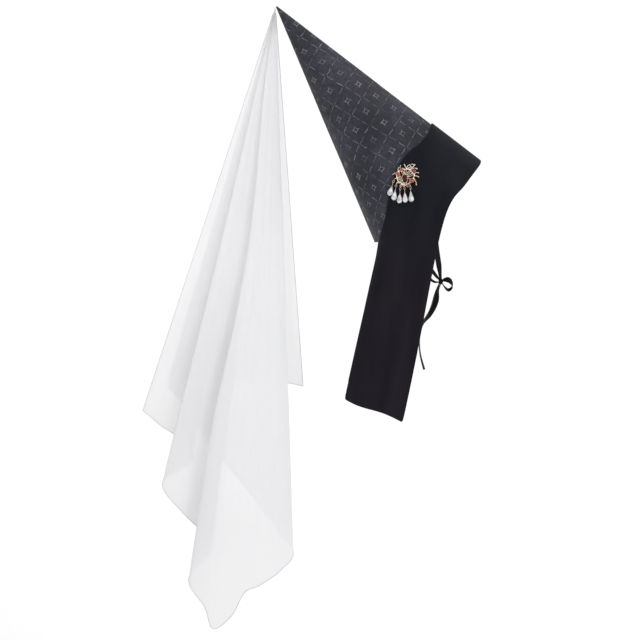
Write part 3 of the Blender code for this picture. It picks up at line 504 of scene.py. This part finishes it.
def gold_look():
    """Pale polished gold with painted highlights in patches, and painted shade where the openwork is deep."""
    look = Look("pale_gold")
    bumps_and_painted_highlights = look.noise(420.0, 3.0)
    # painted highlights: noise mixes the gold towards near white in patches, standing in for bright
    # reflections; the same noise also makes the bumps
    painted_highlight_patches = look.ranged(bumps_and_painted_highlights, 0.38, 0.60, 0.0, 1.0)
    colour = look.mix(painted_highlight_patches, (0.82, 0.50, 0.28, 1.0), (1.0, 0.96, 0.89, 1.0))
    # painted shade: the colour turns near black where the openwork is deep and closed in
    openness_for_painted_shade = look.node("ShaderNodeAmbientOcclusion", {"Distance": 1.1 * MILLIMETRE}).outputs["AO"]
    colour = look.mix(look.ranged(openness_for_painted_shade, 0.22, 0.62, 0.0, 1.0), (0.030, 0.010, 0.006, 1.0), colour)
    rough = look.ranged(look.noise(900.0, 2.0), 0.3, 0.7, 0.12, 0.26)
    look.set(Base_Color=colour, Metallic=1.0, Roughness=rough)
    look.set(Normal=look.bump(bumps_and_painted_highlights, 0.35, 0.15 * MILLIMETRE))
    return look.material


def pearl_look():
    """Glassy white lustre with soft grey clouds of painted shade under a clear coat."""
    look = Look("pearl_lustre")
    cloud = look.noise(210.0, 1.0)
    # painted shade: grey clouds stand in for the shading and dark reflections of glassy drops
    clear = look.ranged(cloud, 0.38, 0.62, 0.0, 1.0)
    colour = look.mix(clear, (0.48, 0.47, 0.50, 1.0), (0.82, 0.80, 0.81, 1.0))
    look.set(Base_Color=colour, Roughness=0.20, Coat_Weight=0.6, Coat_Roughness=0.05)
    look.set(Normal=look.bump(cloud, 0.10, 0.2 * MILLIMETRE))
    return look.material


def stone_look(name, colour, deep, fire_from):
    """Cut stone over foil: mostly deep colour, with painted fire and painted glints in a few places."""
    look = Look(name)
    # painted reflection: noise puts the bright fire colour in patches over the deep colour
    fire = look.noise(520.0, 1.0)
    body = look.mix(look.ranged(fire, fire_from, fire_from + 0.12, 0.0, 1.0), deep, colour)
    # painted highlight: noise adds small near-white glints
    glint = look.noise(900.0, 1.0)
    body = look.mix(look.ranged(glint, 0.68, 0.74, 0.0, 0.6), body, (0.90, 0.70, 0.60, 1.0))
    look.set(Base_Color=body, Roughness=0.16, Specular_IOR_Level=0.25)
    return look.material


def object_from(name, mesh):
    item = bpy.data.objects.new(name, mesh)
    bpy.context.scene.collection.objects.link(item)
    return item


def sheet(name, grid, closed=False):
    """Surface through a grid of points; a closed one joins each row's end to its start."""
    columns = len(grid[0])
    corners = [tuple(point) for row in grid for point in row]
    faces = []
    last = columns if closed else columns - 1
    for row in range(len(grid) - 1):
        for column in range(last):
            ahead = (column + 1) % columns
            start = row * columns
            faces.append((start + column, start + columns + column, start + columns + ahead, start + ahead))
    mesh = bpy.data.meshes.new(name)
    mesh.from_pydata(corners, [], faces)
    mesh.update()
    mesh.shade_smooth()
    return object_from(name, mesh)


def applied(item):
    """The same object with its modifiers, or its curve, as one plain mesh."""
    scene_now = bpy.context.evaluated_depsgraph_get()
    mesh = bpy.data.meshes.new_from_object(item.evaluated_get(scene_now))
    name = item.name
    bpy.data.objects.remove(item, do_unlink=True)
    return object_from(name, mesh)


def dressed(item, slot, *materials):
    item.data.materials.clear()
    for material in materials:
        item.data.materials.append(material)
    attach(item, "root")
    return item


def rounded(item):
    rounding = item.modifiers.new("rounding", "SUBSURF")
    rounding.levels = 1
    rounding.render_levels = 1
    return applied(item)


def padded_wall(item, wall, offset):
    """The sheet as a wall with soft edges; offset 0 grows it both ways, 1 outwards alone."""
    solid = item.modifiers.new("wall", "SOLIDIFY")
    solid.thickness = wall
    solid.offset = offset
    solid.use_even_offset = True
    return rounded(item)


def cone_normal(angle):
    flat = math.cos(HALF_ANGLE)
    return Vector((flat * math.cos(angle), -flat * math.sin(angle), math.sin(HALF_ANGLE)))


def cone_point(reach, along, lift):
    """Point over the cone's outer face, from its place on the opened-out cone."""
    distance = math.hypot(reach, along)
    angle = math.atan2(along, reach) / math.sin(HALF_ANGLE)
    radius = distance * math.sin(HALF_ANGLE)
    spot = Vector((radius * math.cos(angle), -radius * math.sin(angle), 0.0))
    spot.z = CONE_HEIGHT - distance * math.cos(HALF_ANGLE)
    return LEAN @ (spot + cone_normal(angle) * lift)


def make_cone(brocade, lining):
    """Brocade outside, turned in at the rim, lining inside."""
    tip_height = CONE_HEIGHT - TIP_RADIUS / math.sin(HALF_ANGLE)
    foot_inside = RIM_RADIUS - CONE_WALL / math.cos(HALF_ANGLE)
    profile = [(TIP_HOLE, tip_height + TIP_RADIUS)]
    for degrees in TIP_STEPS:
        angle = math.radians(degrees)
        profile.append((TIP_RADIUS * math.cos(angle), tip_height + TIP_RADIUS * math.sin(angle)))
    first = (TIP_RADIUS * math.cos(HALF_ANGLE), tip_height + TIP_RADIUS * math.sin(HALF_ANGLE))
    last = (RIM_RADIUS - HEM_ROLL * math.sin(HALF_ANGLE), HEM_ROLL)
    for row in range(CONE_ROWS + 1):
        share = row / CONE_ROWS
        profile.append((blend(first[0], last[0], share), blend(first[1], last[1], share)))
    middle = blend(RIM_RADIUS, foot_inside, 0.5)
    half = (RIM_RADIUS - foot_inside) * 0.5
    for degrees in HEM_STEPS:
        angle = math.radians(degrees)
        profile.append((middle + half * math.cos(angle), HEM_ROLL * (1.0 - math.sin(angle))))
    outer_rows = len(profile)
    top = CONE_HEIGHT - CONE_WALL / math.sin(HALF_ANGLE)
    for row in range(LINING_ROWS + 1):
        share = row / LINING_ROWS
        radius = blend(foot_inside - HEM_ROLL * math.sin(HALF_ANGLE), LINING_TIP_HOLE, share)
        profile.append((radius, blend(HEM_ROLL, top, share)))
    grid = []
    for row, (radius, height) in enumerate(profile):
        line = []
        for column in range(CONE_COLUMNS):
            angle = math.tau * column / CONE_COLUMNS - math.pi
            out = cone_normal(angle)
            spot = Vector((radius * math.cos(angle), -radius * math.sin(angle), height))
            below_tip = (CONE_HEIGHT - height) / CONE_HEIGHT
            weight = ease(below_tip / DENT_FULL_BELOW_TIP) * ease(height / CONE_HEIGHT / DENT_FULL_ABOVE_RIM)
            dent = noise.noise(spot * CONE_DENTS_PER_METRE) * CONE_DENT * weight
            if column == 0:
                dent -= SEAM_DEPTH * ease(below_tip / SEAM_FULL_BELOW_TIP)
            line.append(LEAN @ (spot + out * (dent if row < outer_rows else 0.0)))
        grid.append(line)
    cone = sheet("brocade_cone", grid, closed=True)
    layer = cone.data.uv_layers.new(name="cloth")
    for face in cone.data.polygons:
        for corner in face.loop_indices:
            vertex = cone.data.loops[corner].vertex_index
            row, column = divmod(vertex, CONE_COLUMNS)
            if column == 0 and face.index % CONE_COLUMNS == CONE_COLUMNS - 1:
                column = CONE_COLUMNS
            angle = (math.tau * column / CONE_COLUMNS - math.pi) * math.sin(HALF_ANGLE)
            radius, height = profile[row]
            distance = math.hypot(radius, CONE_HEIGHT - height)
            reach = distance * math.cos(angle)
            along = distance * math.sin(angle)
            place = ((along - MOTIF_ALONG) / LATTICE_PITCH, (reach - MOTIF_REACH) / LATTICE_PITCH)
            layer.data[corner].uv = place
    dressed(cone, "brocade", brocade, lining)
    for face in cone.data.polygons:
        face.material_index = 1 if face.index // CONE_COLUMNS >= outer_rows - 1 else 0
    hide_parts("cone")


def band_row_share(share):
    for index in range(len(BAND_EDGES) - 1):
        low = BAND_EDGES[index][0]
        high = BAND_EDGES[index + 1][0]
        if share <= high:
            return (index + (share - low) / (high - low)) / (len(BAND_EDGES) - 1)
    return 1.0


def band_edge_point(share, column):
    """Place of a point of the band on the opened-out cone: reach and along."""
    shifts = through([row[1:] for row in BAND_EDGES], band_row_share(share))
    front = SLANT + BAND_OVERHANG + shifts[1] * BAND_WIDTH
    back = SLANT + BAND_OVERHANG - BAND_WIDTH + shifts[0] * BAND_WIDTH
    return (
        blend(back, front, column),
        blend(BAND_BACK_RUN, BAND_FRONT_RUN, column) * share,
    )


def lappet_axes():
    down = Vector((-math.sin(LAPPET_LEAN), 0.0, -math.cos(LAPPET_LEAN)))
    level = Vector((math.cos(LAPPET_LEAN), 0.0, -math.sin(LAPPET_LEAN)))
    across = level * math.cos(LAPPET_TURN) + Vector((0.0, -math.sin(LAPPET_TURN), 0.0))
    return down, across, down.cross(across).normalized()


def lappet_point(column, share):
    """Point of the hanging end, from where the cloth leaves the rim (0) to its hem (1)."""
    down, across, out = lappet_axes()
    leave = cone_point(*band_edge_point(1.0, column), BAND_LIFT)
    above = cone_point(*band_edge_point(BAND_END_SLOPE_FROM, column), BAND_LIFT)
    hem_middle = Vector((-LAPPET_SETBACK, -(RIM_RADIUS - LAPPET_INSET), -LAPPET_DROP))
    off_centre = column - 0.5
    hem = hem_middle + across * (off_centre * BAND_WIDTH)
    hem += down * (off_centre * HEM_SLANT + HEM_SAG * math.sin(math.tau * column))
    length = (hem - leave).length
    off_rim = (leave - above).normalized() * blend(LAPPET_PULL_BACK, LAPPET_PULL_FRONT, column) * length
    to_hem = down * (LAPPET_PULL_HEM * length)
    t = share
    point = leave * (1 - t) ** 3 + (leave + off_rim) * (3 * t * (1 - t) ** 2)
    point += (hem - to_hem) * (3 * t * t * (1 - t)) + hem * t**3
    wave = math.sin(math.tau * (LAPPET_WAVES * column + LAPPET_WAVE_START))
    wave *= ease(share / LAPPET_WAVE_FULL_AT)
    return point + out * (LAPPET_FOLD * wave)


def make_band(velvet):
    """One strip of cloth, from the far lappet's hem over the front of the cone to the near one's."""
    near = []
    for row in range(BAND_ROWS_ON_CONE + 1):
        share = row / BAND_ROWS_ON_CONE
        line = []
        for column in range(BAND_COLUMNS + 1):
            line.append(cone_point(*band_edge_point(share, column / BAND_COLUMNS), BAND_LIFT))
        near.append(line)
    for row in range(1, BAND_ROWS_HANGING + 1):
        share = row / BAND_ROWS_HANGING
        near.append([lappet_point(column / BAND_COLUMNS, share) for column in range(BAND_COLUMNS + 1)])
    far = []
    for index in range(len(near) - 1, 0, -1):
        hanging = (index - BAND_ROWS_ON_CONE) / BAND_ROWS_HANGING
        forward = FAR_LAPPET_FORWARD * ease(hanging / FAR_LAPPET_FORWARD_AT)
        far.append([Vector((point.x + forward, -point.y, point.z)) for point in near[index]])
    band = padded_wall(sheet("velvet_band", far + near), BAND_WALL, 1.0)
    dressed(band, "velvet", velvet)
    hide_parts("lappet_band")


def veil_top():
    return CONE_TIP + Vector((-VEIL_SETBACK, 0.0, 0.0))


def veil_way(share):
    """Direction of the cloth from its gather, and the length of the cloth there."""
    side, depth, drop = through(VEIL_FOLDS, share)
    side_angle = math.radians(side)
    depth_angle = math.radians(depth)
    return Vector((math.sin(side_angle), math.sin(depth_angle), -math.cos(side_angle))), drop * VEIL_LENGTH


def veil_bend(share, distance):
    """Turn that brings the front fold nearer to the cone in its upper half, as the cloth sags there."""
    rows_off = abs(share * (len(VEIL_FOLDS) - 1) - VEIL_BEND_MIDDLE)
    low, high = VEIL_BEND_OVER
    turn = ease(1.0 - rows_off / VEIL_BEND_REACH) * ease(distance / VEIL_BEND_FULL_AT)
    return Matrix.Rotation(-VEIL_BEND * turn * ease((high - distance) / (high - low)), 3, "Y")


def veil_ripple(across, distance):
    """Soft unevenness of the hanging cloth, none at the gather."""
    place = Vector((across * VEIL_RIPPLES_ACROSS, distance * VEIL_RIPPLES_DOWN, VEIL_RIPPLE_SEED))
    fine = place * VEIL_FINE_RIPPLE_SCALE + Vector(VEIL_FINE_RIPPLE_SHIFT)
    low, high = VEIL_RIPPLE_BETWEEN
    swell = ease((distance - low) / (high - low))
    return VEIL_RIPPLE * swell * (noise.noise(place) + VEIL_FINE_RIPPLE * noise.noise(fine))


def veil_pleat(across, distance):
    """Small pleats that run down from the gather and die out."""
    low, high = VEIL_PLEAT_BETWEEN
    fade = ease(distance / VEIL_PLEAT_FULL_AT) * ease((high - distance) / (high - low))
    return VEIL_PLEAT * math.sin(across * VEIL_PLEATS_ACROSS) * fade


def make_veil(chiffon, hem_look):
    """Sheer sheet that hangs from its gather in folds, with its rolled hem as a thin cord."""
    columns = (len(VEIL_FOLDS) - 1) * VEIL_STEPS_PER_FOLD
    ways = [veil_way(column / columns) for column in range(columns + 1)]
    run = [0.0]
    for before, after in zip(ways, ways[1:]):
        run.append(run[-1] + (after[0] - before[0]).length)
    grid = []
    for row in range(VEIL_ROWS + 1):
        share = (row / VEIL_ROWS) ** VEIL_ROW_CROWDING
        line = []
        for column, (way, length) in enumerate(ways):
            distance = blend(VEIL_START, length, share)
            ahead = ways[min(column + 1, columns)][0] - ways[max(column - 1, 0)][0]
            out = ahead.cross(way).normalized()
            hang = veil_bend(column / columns, distance) @ (way * distance)
            lift = veil_ripple(run[column], distance) + veil_pleat(run[column], distance)
            line.append(veil_top() + hang + out * lift)
        grid.append(line)
    veil = sheet("chiffon_veil", grid)
    edge = [row[0] for row in grid[2:]] + grid[-1][1:-1] + [row[-1] for row in reversed(grid[2:])]
    curve = bpy.data.curves.new("veil_hem", "CURVE")
    curve.dimensions = "3D"
    curve.bevel_depth = VEIL_HEM
    curve.bevel_resolution = 1
    curve.use_fill_caps = True
    line = curve.splines.new("POLY")
    line.points.add(len(edge) - 1)
    for point, spot in zip(line.points, edge):
        point.co = (*spot, 1.0)
    hem = applied(object_from("veil_hem", curve))
    dressed(veil, "chiffon", chiffon)
    dressed(hem, "chiffon", hem_look)
    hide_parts("veil")


def ribbon(name, points, widths, satin, node):
    """Satin ribbon through points; each width is the vector from its one edge to its other."""
    grid = []
    for point, width in zip(points, widths):
        shares = [step / RIBBON_COLUMNS - 0.5 for step in range(RIBBON_COLUMNS + 1)]
        grid.append([point + width * share for share in shares])
    item = padded_wall(sheet(name, grid), RIBBON_WALL, 0.0)
    dressed(item, "satin", satin)
    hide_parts(node)


def make_strand(name, far, satin, node):
    """Chin ribbon from inside the rim to the knot; the far one mirrors the near one."""
    inside = CONE_WALL + RIBBON_INSIDE + RIBBON_WALL * 0.5
    points = []
    for step in range(SEWN_STEPS + 1):
        above = RIBBON_SEWN * (1.0 - step / SEWN_STEPS)
        angle = RIBBON_FROM_FRONT - above / RIM_RADIUS
        distance = SLANT - above - GAP
        spread = angle * math.sin(HALF_ANGLE)
        points.append(cone_point(distance * math.cos(spread), distance * math.sin(spread), -inside))
    leave = points[-1]
    to_knot = (KNOT - leave).normalized()
    end = KNOT - to_knot * STRAND_END
    bow_out = (leave - points[-2]).normalized() * ((end - leave).length * RIBBON_BOW)
    for step in range(1, STRAND_STEPS + 1):
        t = step / STRAND_STEPS
        points.append(blend(leave, end, t) + bow_out * (math.sin(math.pi * t) * (1.0 - t)))
    widths = []
    for index, point in enumerate(points):
        ahead = points[min(index + 1, len(points) - 1)] - points[max(index - 1, 0)]
        ahead.normalize()
        flat = Vector((1.0, 0.0, 0.0)) - ahead * ahead.x
        rows_left = len(points) - 1 - index
        narrow = blend(1.0, RIBBON_NARROWING, ease(1.0 - rows_left / STRAND_NARROW_ROWS))
        widths.append(flat.normalized() * RIBBON_WIDTH * narrow)
    if far:
        points = [Vector((point.x, -point.y, point.z)) for point in points]
        widths = [Vector((width.x, -width.y, width.z)) for width in widths]
    ribbon(name, points, widths, satin, node)


def make_bow_strip(name, table, length, looped, satin, node):
    """Loop or tail of the bow through its table; a loop is turned about another axis than a tail."""
    samples = (len(table) - 1) * BOW_STEPS_PER_ROW
    points = []
    widths = []
    for sample in range(samples + 1):
        forward, up, left, face, spread = through(table, sample / samples)
        points.append(KNOT + Vector((forward, left, up)) * length)
        turn = math.radians(face)
        if looped:
            width = Vector((0.0, math.cos(turn), math.sin(turn)))
        else:
            width = Vector((math.cos(turn), math.sin(turn), 0.0))
        widths.append(width * RIBBON_WIDTH * spread)
    ribbon(name, points, widths, satin, node)


def make_knot(satin):
    """Wrapped knot: a rounded block with the ribbon's creases across it."""
    mesh = bpy.data.meshes.new("satin_knot")
    work = bmesh.new()
    bmesh.ops.create_cube(work, size=1.0)
    bmesh.ops.subdivide_edges(work, edges=work.edges[:], cuts=KNOT_CUTS, use_grid_fill=True)
    for vertex in work.verts:
        spot = vertex.co
        spot = spot.lerp(spot.normalized() * KNOT_RADIUS, KNOT_ROUNDNESS)
        crease = math.sin(spot.dot(Vector(KNOT_CREASES)))
        vertex.co = spot + spot.normalized() * (KNOT_CREASE * crease)
    work.to_mesh(mesh)
    work.free()
    mesh.transform(Matrix.Diagonal((*(KNOT_SIZE * share for share in KNOT_SHAPE), 1.0)))
    mesh.transform(Matrix.Translation(KNOT))
    mesh.shade_smooth()
    knot = rounded(object_from("satin_knot", mesh))
    dressed(knot, "satin", satin)
    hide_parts("bow_knot")


def make_camera():
    """Camera square to the hat's side, a little above, its picture turned so that cloth hangs plumb."""
    level = Vector((1.0, 0.0, 0.0))
    upright = Vector((0.0, math.sin(CAMERA_ELEVATION), math.cos(CAMERA_ELEVATION)))
    right = level * math.cos(CAMERA_ROLL) + upright * math.sin(CAMERA_ROLL)
    up = upright * math.cos(CAMERA_ROLL) - level * math.sin(CAMERA_ROLL)
    back = right.cross(up)
    centre = PICTURE * 0.5
    target = right * ((centre - RIM_PIXEL[0]) * PIXEL) - up * ((centre - RIM_PIXEL[1]) * PIXEL)
    data = bpy.data.cameras.new("camera")
    data.sensor_width = SENSOR
    data.lens = SENSOR * CAMERA_DISTANCE / (PICTURE * PIXEL)
    data.clip_end = CLIP_END
    camera = bpy.data.objects.new("camera", data)
    bpy.context.scene.collection.objects.link(camera)
    camera.matrix_world = Matrix((right, up, back)).transposed().to_4x4()
    camera.location = target + back * CAMERA_DISTANCE
    bpy.context.scene.camera = camera


def make_sun(name, towards, softness, strength):
    """Far soft light; towards points from the hat to it, softness is its width in degrees."""
    data = bpy.data.lights.new(name, "SUN")
    data.angle = math.radians(softness)
    data.energy = strength
    lamp = bpy.data.objects.new(name, data)
    bpy.context.scene.collection.objects.link(lamp)
    lamp.rotation_euler = Vector(towards).to_track_quat("Z", "Y").to_euler()


def make_stage():
    mesh = bpy.data.meshes.new("floor")
    work = bmesh.new()
    bmesh.ops.create_grid(work, x_segments=1, y_segments=1, size=FLOOR_REACH)
    work.to_mesh(mesh)
    work.free()
    floor = object_from("floor", mesh)
    floor.location = (0.0, 0.0, FLOOR_HEIGHT)
    look = Look("floor_paint")
    look.set(Base_Color=(0.97, 0.97, 0.97, 1.0), Roughness=0.9, Specular_IOR_Level=0.0)
    floor.data.materials.append(look.material)
    world = bpy.data.worlds.new("studio")
    world.use_nodes = True
    background = world.node_tree.nodes["Background"]
    background.inputs["Color"].default_value = (1.0, 1.0, 1.0, 1.0)
    background.inputs["Strength"].default_value = STUDIO_LIGHT
    bpy.context.scene.world = world
    bpy.context.scene.view_settings.view_transform = "Standard"
    make_sun("key", (1.0, -1.3, 1.0), 35.0, 0.75)
    make_sun("overhead", (0.1, 0.1, 1.0), 30.0, 1.05)


def smoothed(nodes, node, name, slot, material, edge_angle):
    """Finer piece with the shape of one solid, in its place; edges over edge_angle degrees stay sharp."""
    work = bmesh.new()
    work.from_mesh(nodes[node].data)
    work.transform(nodes[node].matrix_world)
    bmesh.ops.remove_doubles(work, verts=work.verts[:], dist=MERGE)
    turn = math.radians(JOIN_ANGLE)
    bmesh.ops.join_triangles(work, faces=work.faces[:], angle_face_threshold=turn, angle_shape_threshold=turn)
    crease = work.edges.layers.float.new("crease_edge")
    for edge in work.edges:
        if edge.calc_face_angle(0.0) > math.radians(edge_angle):
            edge[crease] = 1.0
            edge.smooth = False
    mesh = bpy.data.meshes.new(name)
    for face in work.faces:
        face.smooth = True
    work.to_mesh(mesh)
    work.free()
    item = rounded(object_from(name, mesh))
    dressed(item, slot, material)
    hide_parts(node)


def dress_jewel(nodes):
    gold = gold_look()
    pearl = pearl_look()
    stones = {
        node: stone_look(name, (*fire, 1.0), (*deep, 1.0), fire_from)
        for node, name, fire, deep, fire_from in STONES
    }
    for name, item in nodes.items():
        if name in stones:
            item.data.materials.clear()
            item.data.materials.append(stones[name])
        elif name == "brooch_pin" or name.startswith("drop_link"):
            item.data.materials.clear()
            item.data.materials.append(gold)
    smoothed(nodes, "brooch_frame", "openwork_frame", "gold", gold, FRAME_EDGE)
    for number in range(1, DROPS + 1):
        smoothed(nodes, f"drop_hanger_{number}", f"gold_cap_{number}", "gold", gold, CAP_EDGE)
        smoothed(nodes, f"pearl_drop_{number}", f"pearl_{number}", "pearl", pearl, PEARL_EDGE)


def main():
    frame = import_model()
    satin = satin_look()
    make_camera()
    make_stage()
    make_cone(brocade_look(), lining_look())
    make_band(velvet_look())
    make_veil(
        chiffon_look("white_chiffon", 0.12, (0.975, 0.975, 0.988, 1.0)),
        chiffon_look("chiffon_hem", 0.10, (0.850, 0.850, 0.870, 1.0)),
    )
    make_strand("satin_strand_near", False, satin, "chin_ribbon_near")
    make_strand("satin_strand_far", True, satin, "chin_ribbon_far")
    make_knot(satin)
    make_bow_strip("satin_loop_front", FRONT_LOOP, LOOP_LENGTH, True, satin, "bow_loop_front")
    make_bow_strip("satin_loop_back", BACK_LOOP, LOOP_LENGTH, True, satin, "bow_loop_back")
    make_bow_strip("satin_tail_front", FRONT_TAIL, TAIL_LENGTH, False, satin, "bow_tail_front")
    make_bow_strip("satin_tail_back", BACK_TAIL, TAIL_LENGTH, False, satin, "bow_tail_back")
    dress_jewel(frame["nodes"])
    bpy.context.view_layer.update()


main()
